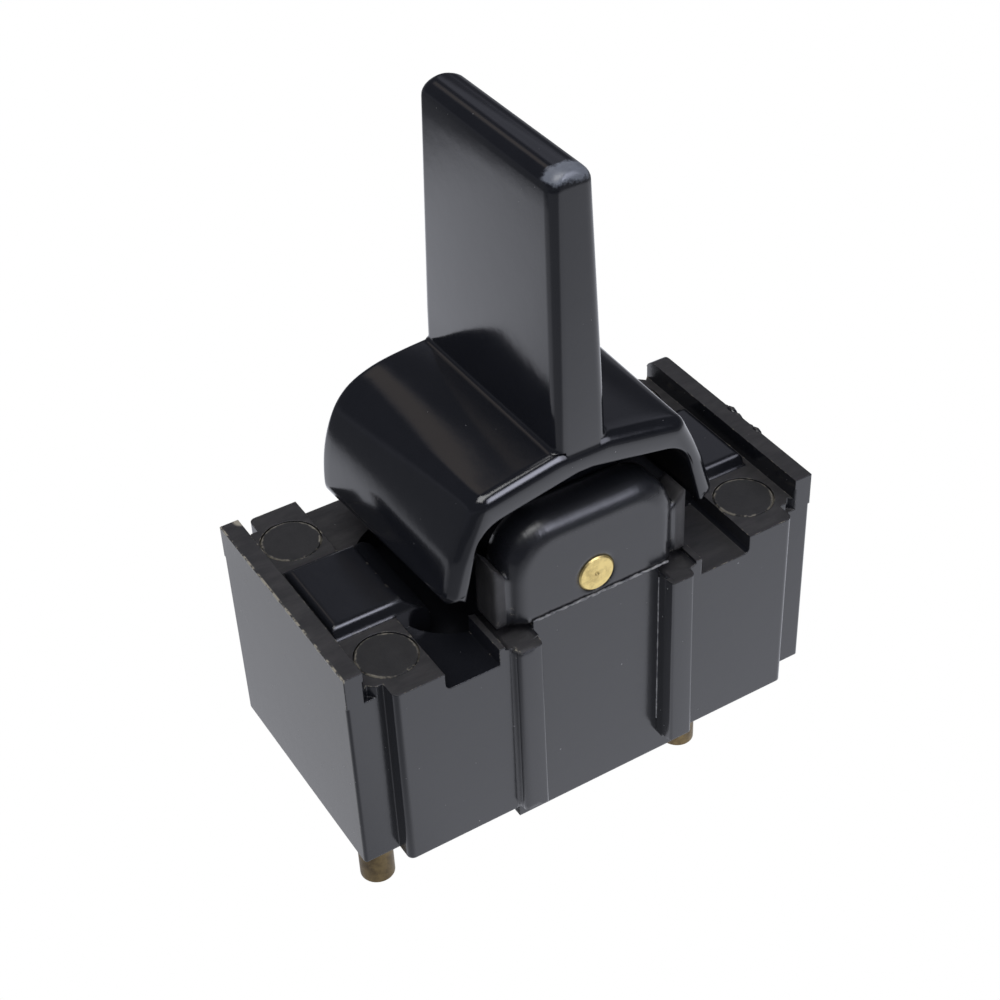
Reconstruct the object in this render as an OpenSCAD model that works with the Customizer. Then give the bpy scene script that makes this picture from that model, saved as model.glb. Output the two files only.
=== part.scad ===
// Convertible top switch: a moulded rocker lever on a brass pin, over a reversing slide switch.
// X runs along the housing, the front face looks towards -Y, Z is up, and Z = 0 is at the terminal tips.

/* [Housing] */
// Length of the housing, over its two end walls
body_length = 40; // [38:0.5:46]
// Depth of the end walls, front to back
end_depth = 19.6; // [19.2:0.2:23]
// Height of the end walls
body_height = 18.6; // [18:0.2:22]
// How far the front and back walls stand proud of the end walls
wall_proud = 1.6; // [1.4:0.1:2.4]
// Length of the proud front and back walls
wall_length = 34.2; // [33.6:0.2:36]
// Thickness of the raised rim along each end
rim_thickness = 1.5; // [1:0.1:1.8]
// Depth of the corner pads below the rims
pad_drop = 1.8; // [1.2:0.1:2.2]
// Depth of the shallow panel sunk into the middle of the front wall
panel_sink = 0.8; // [0.4:0.1:1.2]
// Width of that panel, between its two ribs
panel_width = 10.9; // [10:0.1:11.4]
// Width of a rib beside the panel
rib_width = 2.1; // [1.6:0.1:2.4]
// How far a rib stands proud of the front wall at its foot
rib_proud = 0.6; // [0.4:0.1:1.2]
// Draft that leans the rib's face back towards its top
rib_draft = 0.2; // [0:0.1:0.5]

/* [Deck] */
// Width of a clearance slot through the front or back wall
slot_width = 4.4; // [3.8:0.1:4.6]
// Distance from the middle to the near side of a slot
slot_inset = 8.7; // [8.4:0.1:9.2]
// Depth of a slot below the pads
slot_depth = 1.5; // [1.4:0.1:2]
// Half length of the open well under the lever
well_reach = 12.4; // [12.2:0.1:12.6]
// Depth of the well below the pads
well_depth = 3.8; // [3.6:0.1:4]
// Height of the moulded platform above the pads
platform_rise = 1; // [0.6:0.1:1.1]
// Size of the platform, front to back
platform_depth = 8.6; // [7:0.2:9]
// Diameter of a sealing plug
plug_diameter = 4.7; // [4:0.1:5]
// Distance from the end of the housing to a plug
plug_inset = 4.5; // [4.2:0.1:4.8]
// Depth of a plug in its bore
plug_depth = 2; // [1:0.1:2.6]

/* [Pivot] */
// Diameter of the brass pivot pin
pin_diameter = 3; // [2.4:0.1:3.4]
// Height of the pin above the rims
pivot_rise = 0.5; // [0.3:0.1:1]
// Width of a pivot lug
lug_width = 14.1; // [13.4:0.1:14.4]
// Height of a lug above the pin
lug_rise = 6; // [5.6:0.1:6.2]
// Radius of a lug's shoulders
lug_radius = 3.6; // [3.2:0.1:4.4]
// Thickness of a lug
lug_thickness = 3.3; // [2.8:0.1:3.5]
// Radial clearance of the lever's hub on the pin
pin_clearance = 0.05; // [0.02:0.01:0.08]

/* [Lever] */
// Swing of the lever each way from upright, in degrees
lever_swing = 10; // [8:0.5:10]
// Length of the lever's saddle, front to back
saddle_depth = 18.7; // [18:0.1:19.2]
// Width of the saddle across its front feet
saddle_width = 22.8; // [22.6:0.1:23]
// Width of the saddle across its shoulders
shoulder_width = 17; // [16.8:0.1:17.2]
// Height of a shoulder above the pin
shoulder_rise = 9.2; // [9.05:0.05:9.3]
// Height of the saddle's crown above the pin
crown_rise = 10.45; // [10.3:0.05:10.8]
// Height of the saddle's front feet above the pin
foot_rise = 1.3; // [1.2:0.1:1.8]
// Thickness of the saddle's skirt
skirt_wall = 1.55; // [1.4:0.05:1.7]
// Height of the paddle's top above the pin
paddle_rise = 31.2; // [24:0.2:36]
// Thickness of the paddle at its top
paddle_top_thickness = 3.4; // [2.8:0.1:4]
// Thickness of the paddle at its root
paddle_root_thickness = 4.2; // [3.6:0.1:5]
// Depth of the paddle at its top, front to back
paddle_top_depth = 16.8; // [14:0.1:17.4]
// Radius of the hub around the pin
hub_radius = 4.2; // [3.8:0.1:4.4]

/* [Contacts] */
// Diameter of a terminal post
terminal_diameter = 2.7; // [2.2:0.1:2.7]
// Length of a terminal below the housing
terminal_drop = 5.5; // [4:0.5:9]
// Distance from the end of the housing to the outer terminals
outer_terminal_inset = 2.25; // [2.2:0.05:2.4]
// Distance from the middle to the inner terminals
inner_terminal_x = 9.6; // [9.3:0.1:10]
// Distance from the middle plane to the outer terminals
outer_terminal_row = 6.7; // [6.6:0.05:6.8]
// Distance from the middle plane to the inner terminals
inner_terminal_row = 7.7; // [7.5:0.05:7.9]
// Thickness of the base plate
plate_thickness = 1.6; // [1.2:0.1:2]
// Thickness of a contact strap
strap_thickness = 0.6; // [0.4:0.1:0.7]
// Depth of the sliding carriage, front to back
carriage_depth = 15.8; // [15:0.1:16]
// Length of the carriage
carriage_length = 12.4; // [10:0.1:12.6]
// Height of the drive ball's centre above the base plate
drive_height = 7.4; // [7:0.1:7.6]
// Radius of the drive ball
drive_ball = 1.8; // [1.5:0.1:1.9]

/* [Hidden] */

$fn = 48;
arc_steps = 8;
eps = 0.02;
gap = 0.1;

// Heights
floor_z = terminal_drop;
rim_z = floor_z + body_height;
pad_z = rim_z - pad_drop;
slot_z = pad_z - slot_depth;
well_z = pad_z - well_depth;
platform_z = pad_z + platform_rise;
pivot_z = rim_z + pivot_rise;
plate_top = floor_z + plate_thickness;
strap_top = plate_top + strap_thickness;
deck_thickness = 2.6;
roof_z = well_z - deck_thickness;

// Plan sizes of the housing
end_y = end_depth / 2;
wall_y = end_y + wall_proud;
panel_y = wall_y - panel_sink;
end_x = body_length / 2;
rim_x = end_x - rim_thickness;
wall_x = wall_length / 2;
panel_x = panel_width / 2;
corner_round = 0.5;
rib_foot_y = wall_y + rib_proud;
rib_top_z = pad_z - 0.4;
rib_foot_z = floor_z + 0.3;
skirt_drop = 2;
skirt_thickness = 1;
skirt_left = 7.2;
skirt_right = 5.6;
groove_radius = 3.2;
groove_z = pad_z - 0.55;
tooth_width = 0.5;
groove_x = (panel_x + slot_inset - tooth_width) / 2;
overhang_depth = 1.8;
parting_z = pad_z + 0.45;
nick = 0.7;
rim_corner = 1.2;
plug_y = end_y - 2.4;
well_corner = 5;
platform_y = platform_depth / 2;
platform_lead = 0.5;
platform_trail = 1.1;
platform_round = 0.5;
apron_top_x = well_reach + 0.1;
apron_foot_x = well_reach - 2.1;
apron_drop = 1.6;
ear_x = lug_width / 2 + 1;
ear_y = panel_y - 0.6;
ear_depth = 2.6;
ear_low_rise = 2.5;
ear_high_rise = 3.55;

// Inside of the housing
chamber_y = carriage_depth / 2 + 0.3;
chamber_x = 13.4;
plate_y = chamber_y + 1.2;
plate_x = chamber_x + 1;
screw_x = 12.2;
column_radius = 1.7;
screw_core = 0.9;
screw_head = 1.7;
screw_head_height = 0.9;
screw_length = 6;
hub_gap = 0.3;
lug_face_y = panel_y - lug_thickness;
carriage_bottom = strap_top + 1.4;
carriage_top = roof_z - 0.3;

// Lever
saddle_y = saddle_depth / 2;
foot_x = saddle_width / 2;
shoulder_x = shoulder_width / 2;
back_foot_x = foot_x + 0.35;
back_y = saddle_y - 0.3;
arch_wall = 2.05;
side_x = shoulder_x + 2;
side_rise = 4.7;
hub_y = lug_face_y - hub_gap;
spring_wire = 0.3;
spring_coil = pin_diameter / 2 + pin_clearance + 0.3 + spring_wire;
spring_turns = 4.5;
spring_pitch = 2 * spring_wire + 0.06;
spring_length = spring_turns * spring_pitch;
spring_front_y = hub_y - spring_length - 2 * spring_wire;
finger_x = spring_coil - spring_wire - 0.06;
finger_low = -4.5;
finger_high = -spring_coil - spring_wire - 0.1;
post_top_z = pivot_z + finger_low - 0.62;
neck_x = 2.6;
neck_y = 2.6;

// Drive and contacts
drive_z = plate_top + drive_height;
drive_reach = pivot_z - drive_z;
drive_shank = 1.3;
travel = drive_reach * sin(lever_swing);
outer_terminal_x = end_x - outer_terminal_inset;
shank_radius = terminal_diameter / 2 - 0.4;
head_radius = shank_radius + 0.8;
head_height = 0.7;
bridge_row = 4;
bridge_length = 5.2;
bridge_width = 3.2;
bridge_thickness = 0.5;
dimple_x = 2.1;
dimple_radius = 0.5;
contact_gap = 0.05;
bridge_z = strap_top + contact_gap + 0.3;
bridge_tab = 1.4;
common_half = 2.3;
strap_start = 3.4;
strap_reach = 4;
pin_cover = 0.9;
bridge_wire = 0.22;
bridge_coil = 1.2;
bridge_turns = 4;
pocket_radius = bridge_coil + bridge_wire + 0.15;
pocket_top = carriage_top - 1.1;
strap_width = 2.6;
strap_edge_y = bridge_row - bridge_width / 2;

black = "#1d1e20";
dull_black = "#2e2a27";
fibre = "#3a332c";
brass = "#b5923f";
steel = "#8d9094";

function unit(v) = v / norm(v);

// The arc that rounds the corner at p between its neighbours a and b.
function corner_arc(a, p, b, r) =
    let(
        u = unit(a - p),
        v = unit(b - p),
        half = acos(u * v) / 2,
        centre = p + unit(u + v) * r / sin(half),
        first = p + u * r / tan(half) - centre,
        last = p + v * r / tan(half) - centre,
        start = atan2(first[1], first[0]),
        turn = atan2(last[1], last[0]) - start,
        sweep = turn > 180 ? turn - 360 : turn < -180 ? turn + 360 : turn
    )
    [
        for (i = [0:arc_steps])
            let(angle = start + sweep * i / arc_steps)
            centre + r * [cos(angle), sin(angle)]
    ];

// A closed outline whose corner i is rounded to radii[i], or kept sharp where that is 0.
function rounded(points, radii) =
    let(n = len(points))
    [
        for (i = [0:n - 1])
            each radii[i] == 0
                ? [points[i]]
                : corner_arc(points[(i + n - 1) % n], points[i], points[(i + 1) % n], radii[i])
    ];

function box_outline(x, y) = [[-x, -y], [x, -y], [x, y], [-x, y]];

// The right half of an outline followed by its mirror image, both in one turning direction.
function both_sides(half) =
    concat(half, [for (i = [len(half) - 1:-1:0]) [-half[i][0], half[i][1]]]);

module rounded_box(x, y, z0, z1, r) {
    translate([0, 0, z0])
        linear_extrude(z1 - z0)
            polygon(rounded(box_outline(x, y), [r, r, r, r]));
}

module block(low, high) {
    translate(low)
        cube(high - low);
}

// Extrudes an X-Z outline along Y, from y0 to y1.
module along_y(y0, y1) {
    translate([0, y1, 0])
        rotate([90, 0, 0])
            linear_extrude(y1 - y0)
                children();
}

// Extrudes a Y-Z outline along X, from x0 to x1.
module along_x(x0, x1) {
    translate([x0, 0, 0])
        rotate([90, 0, 90])
            linear_extrude(x1 - x0)
                children();
}

// What stands on the left also stands on the right.
module left_and_right() {
    children();
    mirror([1, 0, 0])
        children();
}

module front_and_back() {
    children();
    mirror([0, 1, 0])
        children();
}

// The terminal layout is the same when the switch is turned end for end.
module end_for_end() {
    children();
    rotate([0, 0, 180])
        children();
}

// A round wire along a path that never runs parallel to the reference direction.
module wire(path, radius, reference, sides = 8) {
    count = len(path);
    rings = [
        for (i = [0:count - 1])
            let(
                tangent = unit(path[min(i + 1, count - 1)] - path[max(i - 1, 0)]),
                across = unit(cross(tangent, reference)),
                other = cross(tangent, across)
            )
            for (k = [0:sides - 1])
                path[i] + radius * (across * cos(360 * k / sides) + other * sin(360 * k / sides))
    ];
    walls = [
        for (i = [0:count - 2])
            for (k = [0:sides - 1])
                each [
                    [i * sides + k, i * sides + (k + 1) % sides, (i + 1) * sides + k],
                    [i * sides + (k + 1) % sides, (i + 1) * sides + (k + 1) % sides, (i + 1) * sides + k]
                ]
    ];
    start_cap = [for (k = [sides - 1:-1:0]) k];
    end_cap = [for (k = [0:sides - 1]) (count - 1) * sides + k];
    polyhedron(points = rings, faces = concat(walls, [start_cap, end_cap]));
}

// Housing --------------------------------------------------------------------------------------

// One upright lug, rounded over its shoulders and along its front edge.
module lug() {
    half = lug_width / 2;
    hull() {
        for (step = [[0, 1.1], [0.3, 0.5], [0.75, 0.15], [1.2, 0]])
            along_y(-panel_y + step[0], -lug_face_y)
                polygon(lug_outline(half, step[1]));
    }
}

function lug_outline(half, inset) =
    let(
        x = half - inset,
        top = pivot_z + lug_rise - inset,
        r = lug_radius - inset / 2
    )
    rounded([[-x, parting_z], [x, parting_z], [x, top], [-x, top]], [0, 0, r, r]);

module rib() {
    inner = panel_x + 0.1;
    outer = inner + rib_width;
    intersection() {
        translate([0, 0, rib_foot_z])
            linear_extrude(rib_top_z - rib_foot_z)
                polygon(rounded(
                    [
                        [inner, -panel_y + 1],
                        [inner + 0.45, -rib_foot_y],
                        [outer, -rib_foot_y],
                        [outer, -panel_y + 1]
                    ],
                    [0, 0.35, 0.35, 0]
                ));
        along_x(0, outer + 1)
            polygon([
                [-panel_y + 1, floor_z],
                [-rib_foot_y, floor_z],
                [-rib_foot_y + rib_draft, rib_top_z],
                [-panel_y + 1, rib_top_z]
            ]);
    }
}

// The sunk panel runs on below the housing as a skirt; it stops short on one side for a terminal.
module skirt() {
    low_z = floor_z - skirt_drop;
    block([-skirt_left, -panel_y, low_z], [skirt_right, -panel_y + skirt_thickness, floor_z + 1]);
}

module platform() {
    outer = rim_x - 0.6;
    low = pad_z - 1;
    intersection() {
        along_y(-platform_y, platform_y)
            polygon(rounded(
                [[well_reach - 1, low], [outer, low], [outer, platform_z], [well_reach - 1, platform_z]],
                [0, 0, platform_round, 0]
            ));
        platform_edges(low, outer);
    }
}

// The front and back ends of a platform and of its apron; the back end slopes more.
module platform_edges(low, outer) {
    along_x(apron_foot_x, outer)
        polygon(rounded(
            [
                [-platform_y, low],
                [platform_y, low],
                [platform_y, pad_z],
                [platform_y - platform_trail, platform_z],
                [-platform_y + platform_lead, platform_z],
                [-platform_y, pad_z]
            ],
            [0, 0, 0, platform_round, platform_round, 0]
        ));
}

// The platform's inner side slopes down into the well, and stops the lever's foot.
module apron() {
    intersection() {
        along_y(-platform_y, platform_y)
            polygon(rounded(
                [
                    [apron_foot_x, well_z - 1],
                    [well_reach + 1, well_z - 1],
                    [well_reach + 1, platform_z],
                    [apron_top_x, platform_z],
                    [apron_foot_x, platform_z - apron_drop]
                ],
                [0, 0, 0, 0.9, 0.5]
            ));
        platform_edges(well_z - 1, well_reach + 1);
    }
}

module rim(corner) {
    along_x(rim_x, end_x)
        polygon(rounded(
            [[-end_y, pad_z - 1], [end_y, pad_z - 1], [end_y, rim_z], [-end_y, rim_z]],
            [0, 0, corner, 0]
        ));
}

module housing_blank() {
    rounded_box(end_x, end_y, floor_z, pad_z, corner_round / 2);
    rounded_box(wall_x, wall_y, floor_z, pad_z, corner_round);
    rim(rim_corner);
    mirror([1, 0, 0])
        rim(0);
    left_and_right() {
        platform();
        front_and_back()
            rib();
    }
    end_for_end()
        skirt();
    front_and_back()
        lug();
}

// The sunk panel, cut between the ribs from the bottom up to the parting line.
module sunk_panel() {
    block([-panel_x, -wall_y - 1, floor_z - skirt_drop - 1], [panel_x, -panel_y, parting_z + 1]);
}

// The scooped groove beside a lug; it runs back under the lug's edge and on into the well.
module groove() {
    near = panel_x;
    far = slot_inset - tooth_width;
    intersection() {
        union() {
            along_y(-rib_foot_y - 1, -panel_y + overhang_depth)
                polygon(box_from(near, far, pad_z - 2, parting_z));
            along_y(-rib_foot_y - 1, -platform_y)
                polygon(box_from(lug_width / 2, far, pad_z - 2, parting_z));
        }
        translate([groove_x, 0, groove_z + groove_radius])
            rotate([90, 0, 0])
                cylinder(h = 4 * wall_y, r = groove_radius, center = true, $fn = 64);
    }
}

function box_from(x0, x1, z0, z1) = [[x0, z0], [x1, z0], [x1, z1], [x0, z1]];

module deck_slot() {
    along_y(-wall_y - 1, -platform_y)
        polygon(rounded(box_from(slot_inset, slot_inset + slot_width, slot_z, pad_z + 2), [0, 0.5, 0, 0]));
}

// The chamber for the carriage, with a screw column left standing at each end.
module chamber() {
    difference() {
        block([-chamber_x, -chamber_y, plate_top - 1], [chamber_x, chamber_y, roof_z]);
        left_and_right() {
            translate([screw_x, 0, plate_top])
                cylinder(h = roof_z, r = column_radius);
            block([screw_x, -column_radius, plate_top], [chamber_x + 1, column_radius, roof_z + 1]);
        }
    }
}

module well() {
    slide = travel + drive_shank + 0.5;
    rounded_box(well_reach, lug_face_y, well_z, pad_z + 2, well_corner);
    block([-slide, -neck_y, roof_z - 1], [slide, neck_y, well_z + 1]);
}

// A small ear on each side of a lug, sloped on top towards the middle.
module ear() {
    inner = lug_width / 2 - 0.5;
    slope = (ear_high_rise - ear_low_rise) / (ear_x - lug_width / 2);
    along_y(-ear_y, -ear_y + ear_depth)
        polygon([
            [inner, parting_z],
            [ear_x, parting_z],
            [ear_x, pivot_z + ear_high_rise],
            [inner, pivot_z + ear_low_rise - 0.5 * slope]
        ]);
}

module spring_post() {
    block([-finger_x, spring_front_y, well_z - 1], [finger_x, hub_y, post_top_z]);
}

module housing() {
    color(black)
        difference() {
            union() {
                difference() {
                    housing_blank();
                    front_and_back()
                        sunk_panel();
                    left_and_right()
                        front_and_back() {
                            groove();
                            deck_slot();
                            translate([rim_x - nick / 2, -end_y, pad_z])
                                rotate([0, 0, 45])
                                    cube([nick, nick, 2], center = true);
                        }
                    well();
                }
                spring_post();
                left_and_right() {
                    apron();
                    front_and_back()
                        ear();
                }
            }
            chamber();
            block([-plate_x, -plate_y, floor_z - 1], [plate_x, plate_y, plate_top]);
            end_for_end() {
                strap_channel();
                translate([-outer_terminal_x, -outer_terminal_row, floor_z - 1])
                    cylinder(h = plate_thickness + 2, r = shank_radius);
                head_pocket(-outer_terminal_x, outer_terminal_row);
                head_pocket(inner_terminal_x, inner_terminal_row);
            }
            left_and_right() {
                front_and_back()
                    translate([end_x - plug_inset, -plug_y, pad_z - plug_depth])
                        cylinder(h = plug_depth + 1, d = plug_diameter);
                translate([screw_x, 0, plate_top - 1])
                    cylinder(h = screw_length + gap, r = screw_core);
            }
            rotate([90, 0, 0])
                translate([0, pivot_z, -wall_y - 2])
                    cylinder(h = 2 * wall_y + 4, d = pin_diameter);
        }
}

// Room above a terminal's riveted head.
module head_pocket(x, row) {
    translate([x, -row, plate_top])
        cylinder(h = strap_thickness + head_height + gap, r = head_radius + gap / 2);
}

// The straps of the outer terminals reach the chamber through this channel.
module strap_channel() {
    block(
        [-outer_terminal_x, -outer_terminal_row - strap_width / 2 - eps, plate_top],
        [-chamber_x + 1, -outer_terminal_row + strap_width / 2 + eps, strap_top + eps]
    );
}

// Base ------------------------------------------------------------------------------------------

module base_plate() {
    color(fibre)
        difference() {
            block([-plate_x + eps, -plate_y + eps, floor_z], [plate_x - eps, plate_y - eps, plate_top]);
            end_for_end()
                translate([inner_terminal_x, -inner_terminal_row, floor_z - 1])
                    cylinder(h = plate_thickness + 2, r = shank_radius);
            translate([0, 0, floor_z - 1])
                cylinder(h = plate_thickness + 2, r = shank_radius);
            left_and_right()
                translate([screw_x, 0, 0]) {
                    translate([0, 0, floor_z - 1])
                        cylinder(h = plate_thickness + 2, r = screw_core);
                    translate([0, 0, floor_z - 1])
                        cylinder(h = 1 + screw_head_height, r = screw_head);
                }
        }
}

module base_screws() {
    color(steel)
        left_and_right()
            translate([screw_x, 0, floor_z])
                difference() {
                    union() {
                        cylinder(h = screw_head_height, r = screw_head - eps);
                        cylinder(h = screw_length + plate_thickness - 1, r = screw_core);
                    }
                    translate([-screw_head, -0.25, -1])
                        cube([2 * screw_head, 0.5, 1.4]);
                }
}

module plug(side_x, side_y) {
    color(dull_black)
        translate([side_x * (end_x - plug_inset), side_y * plug_y, pad_z - plug_depth])
            rotate_extrude()
                polygon([
                    [0, 0],
                    [plug_diameter / 2, 0],
                    [plug_diameter / 2, plug_depth - 0.25],
                    [plug_diameter / 2 - 0.15, plug_depth],
                    [0, plug_depth]
                ]);
}

// Pivot and lever -------------------------------------------------------------------------------

module pivot_pin() {
    r = pin_diameter / 2;
    half = panel_y + 0.08;
    color(brass)
        translate([0, 0, pivot_z])
            rotate([90, 0, 0])
                translate([0, 0, -half])
                    rotate_extrude()
                        polygon([
                            [0, 0.15], [0.2, 0], [r - 0.15, 0], [r, 0.15],
                            [r, 2 * half - 0.15], [r - 0.15, 2 * half], [0.2, 2 * half], [0, 2 * half - 0.15]
                        ]);
}

// Front section of the saddle, from one foot over the crown to the other.
function front_outline(inset) = rounded(
    both_sides([
        [foot_x - 0.35 - inset, pivot_z + foot_rise],
        [foot_x - inset, pivot_z + foot_rise + 0.4],
        [side_x - inset, pivot_z + side_rise],
        [side_x - 0.8 - inset, pivot_z + side_rise + 1.9],
        [shoulder_x - inset * 0.8, pivot_z + shoulder_rise - inset],
        [2, pivot_z + crown_rise - inset]
    ]),
    [0, 0, 0, 0, 1.2, 0, 0, 1.2, 0, 0, 0, 0]
);

// Back section: the shoulders have melted into one round sweep, and the feet reach lower.
function back_outline(inset) =
    let(
        sweep = [
            [0.3, 0], [0, 0.5], [0.15, 2.8], [0.45, 4.5], [1, 6.2],
            [1.75, 7.6], [2.95, 8.75], [4.75, 9.5], [6.65, 9.85], [9.75, 10.1]
        ],
        top = sweep[len(sweep) - 1][1]
    )
    both_sides([
        for (p = sweep)
            [back_foot_x - p[0] - inset * (1 - p[0] / 10), pivot_z + p[1] - inset * p[1] / top]
    ]);

// Inner section of the saddle; the lugs stand inside it.
function arch_outline() =
    let(
        foot = foot_x - skirt_wall,
        corner = pivot_z + shoulder_rise - arch_wall,
        crown = pivot_z + crown_rise - arch_wall
    )
    rounded(
        both_sides([[foot, pivot_z - 1], [foot, pivot_z + 1.3], [shoulder_x, corner - 0.3], [0.6, crown]]),
        [0, 0, 2.6, 0, 0, 2.6, 0, 0]
    );

module saddle() {
    difference() {
        hull() {
            for (step = [[0, 1], [0.3, 0.5], [0.7, 0.2], [1.3, 0]])
                along_y(-saddle_y + step[0], -saddle_y + step[0] + eps)
                    polygon(front_outline(step[1]));
            for (step = [[0, 0.6], [0.2, 0.25], [0.6, 0]])
                along_y(back_y - step[0] - eps, back_y - step[0])
                    polygon(back_outline(step[1]));
        }
        along_y(-saddle_y - 1, saddle_y + 1)
            polygon(arch_outline());
    }
}

// The flat grip: thicker and deeper at its root, with rounded edges and top.
module paddle() {
    root_depth = saddle_depth - 0.4;
    root_z = pivot_z + crown_rise - 2;
    top_z = pivot_z + paddle_rise;
    hull() {
        paddle_slice(root_z, paddle_root_thickness, root_depth);
        for (step = [[1.2, 0], [0.55, 0.25], [0.2, 0.75], [0, 1.3]])
            paddle_slice(top_z - step[0], paddle_top_thickness - 2 * step[1], paddle_top_depth - step[1]);
    }
}

module paddle_slice(z, thickness, depth) {
    rounded_box(thickness / 2, depth / 2, z - eps, z, min(0.9, 0.45 * thickness));
}

// The hub runs back as far as the spring; its finger works between the spring's two tails.
module hub() {
    translate([0, spring_front_y - gap, pivot_z])
        rotate([90, 0, 0])
            cylinder(h = hub_y + spring_front_y - gap, r = hub_radius);
    block(
        [-hub_radius, -hub_y, pivot_z],
        [hub_radius, spring_front_y - gap, pivot_z + crown_rise - 1.5]
    );
    block([-neck_x, -neck_y, pivot_z - hub_radius - 0.3], [neck_x, neck_y, pivot_z]);
    block(
        [-finger_x, 0, pivot_z + finger_low],
        [finger_x, hub_y - gap, pivot_z + finger_high]
    );
}

module lever() {
    color(black)
        difference() {
            union() {
                saddle();
                paddle();
                intersection() {
                    hub();
                    union() {
                        along_y(-hub_y, hub_y)
                            polygon(arch_outline());
                        block([-foot_x, -hub_y, well_z], [foot_x, hub_y, pivot_z + foot_rise]);
                    }
                }
            }
            translate([0, 0, pivot_z])
                rotate([90, 0, 0])
                    cylinder(h = 4 * hub_y, d = pin_diameter + 2 * pin_clearance, center = true);
            translate([0, 0, pivot_z - hub_radius - 1])
                cylinder(h = hub_radius + 1 - pin_diameter / 2 - pin_cover, r = drive_shank);
        }
}

module drive_pin() {
    color(steel) {
        translate([0, 0, drive_z])
            sphere(r = drive_ball);
        translate([0, 0, drive_z])
            cylinder(h = drive_reach - pin_diameter / 2 - pin_cover, r = drive_shank);
    }
}

// Two tails down, one on each side of the finger and the post, joined by a close coil.
module centring_spring() {
    steps = 16 * spring_turns;
    tail_z = well_z + 0.3;
    tail_y = spring_front_y + spring_wire;
    path = concat(
        [[-spring_coil, tail_y, tail_z]],
        [
            for (i = [0:steps])
                [
                    -spring_coil * cos(360 * i / 16),
                    tail_y + spring_pitch * i / 16,
                    pivot_z + spring_coil * sin(360 * i / 16)
                ]
        ],
        [[spring_coil, tail_y + spring_length, tail_z]]
    );
    color(steel)
        wire(path, spring_wire, [0, 1, 0]);
}

// Carriage and contacts -------------------------------------------------------------------------

module carriage() {
    half_x = carriage_length / 2;
    half_y = carriage_depth / 2;
    room_x = bridge_length / 2 + gap;
    room_y = bridge_width / 2 + gap;
    color(fibre)
        difference() {
            block([-half_x, -half_y, carriage_bottom], [half_x, half_y, carriage_top]);
            block(
                [-drive_ball - gap, -neck_y, drive_z - drive_ball - gap],
                [drive_ball + gap, neck_y, carriage_top + 1]
            );
            front_and_back() {
                block(
                    [-room_x, -bridge_row - room_y, carriage_bottom - 1],
                    [room_x, -bridge_row + room_y, bridge_z + bridge_thickness + bridge_tab + gap]
                );
                translate([0, -bridge_row, carriage_bottom])
                    cylinder(h = pocket_top - carriage_bottom, r = pocket_radius);
            }
        }
}

// A sprung contact bar with turned-up ends and a round dimple near each.
module bridge(side) {
    half = bridge_length / 2;
    color(brass)
        translate([0, side * bridge_row, bridge_z]) {
            block([-half, -bridge_width / 2, 0], [half, bridge_width / 2, bridge_thickness]);
            left_and_right() {
                block(
                    [half - bridge_thickness, -bridge_width / 2, 0],
                    [half, bridge_width / 2, bridge_thickness + bridge_tab]
                );
                translate([dimple_x, 0, strap_top + contact_gap - bridge_z])
                    rotate_extrude()
                        polygon([[0, 0], [0.3, 0], [dimple_radius, 0.2], [dimple_radius, 0.5], [0, 0.5]]);
            }
        }
}

module bridge_spring(side) {
    low = bridge_z + bridge_thickness + bridge_wire;
    rise = pocket_top - bridge_wire - low;
    steps = 14 * bridge_turns;
    path = [
        for (i = [0:steps])
            [
                bridge_coil * cos(360 * i / 14),
                side * bridge_row + bridge_coil * sin(360 * i / 14),
                low + rise * i / steps
            ]
    ];
    color(steel)
        wire(path, bridge_wire, [0, 0, 1], 6);
}

// A turned post with a chamfered tip, shouldered under the base and riveted over on its strap.
module terminal(x, y) {
    r = terminal_diameter / 2;
    color(brass)
        translate([x, y, 0])
            rotate_extrude()
                polygon([
                    [0, 0], [r - 0.3, 0], [r, 0.3], [r, floor_z],
                    [shank_radius, floor_z], [shank_radius, strap_top],
                    [head_radius, strap_top], [head_radius, strap_top + head_height - 0.3],
                    [head_radius - 0.4, strap_top + head_height], [0, strap_top + head_height]
                ]);
}

// The strap of an outer terminal, as laid at the front left.
module outer_strap() {
    low_y = -outer_terminal_row - strap_width / 2;
    color(brass)
        difference() {
            union() {
                block(
                    [-outer_terminal_x, low_y, plate_top],
                    [-strap_start - 1, low_y + strap_width, strap_top]
                );
                block(
                    [-strap_start - strap_reach, low_y, plate_top],
                    [-strap_start, -strap_edge_y, strap_top]
                );
                translate([-outer_terminal_x, -outer_terminal_row, plate_top])
                    cylinder(h = strap_thickness, r = head_radius);
            }
            translate([-outer_terminal_x, -outer_terminal_row, plate_top - 1])
                cylinder(h = strap_thickness + 2, r = shank_radius);
        }
}

// The strap of an inner terminal, as laid at the front right.
module inner_strap() {
    low_y = gap - chamber_y;
    color(brass)
        difference() {
            union() {
                block([strap_start, low_y, plate_top], [inner_terminal_x, low_y + 2.1, strap_top]);
                block(
                    [strap_start, low_y, plate_top],
                    [strap_start + strap_reach, -strap_edge_y, strap_top]
                );
                translate([inner_terminal_x, -inner_terminal_row, plate_top])
                    cylinder(h = strap_thickness, r = head_radius);
            }
            translate([inner_terminal_x, -inner_terminal_row, plate_top - 1])
                cylinder(h = strap_thickness + 2, r = shank_radius);
        }
}

module common_strap() {
    reach = bridge_row + bridge_width / 2 + 0.3;
    color(brass)
        difference() {
            block([-common_half, -reach, plate_top], [common_half, reach, strap_top]);
            translate([0, 0, plate_top - 1])
                cylinder(h = strap_thickness + 2, r = shank_radius);
        }
}

module turned() {
    rotate([0, 0, 180])
        children();
}

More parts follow.
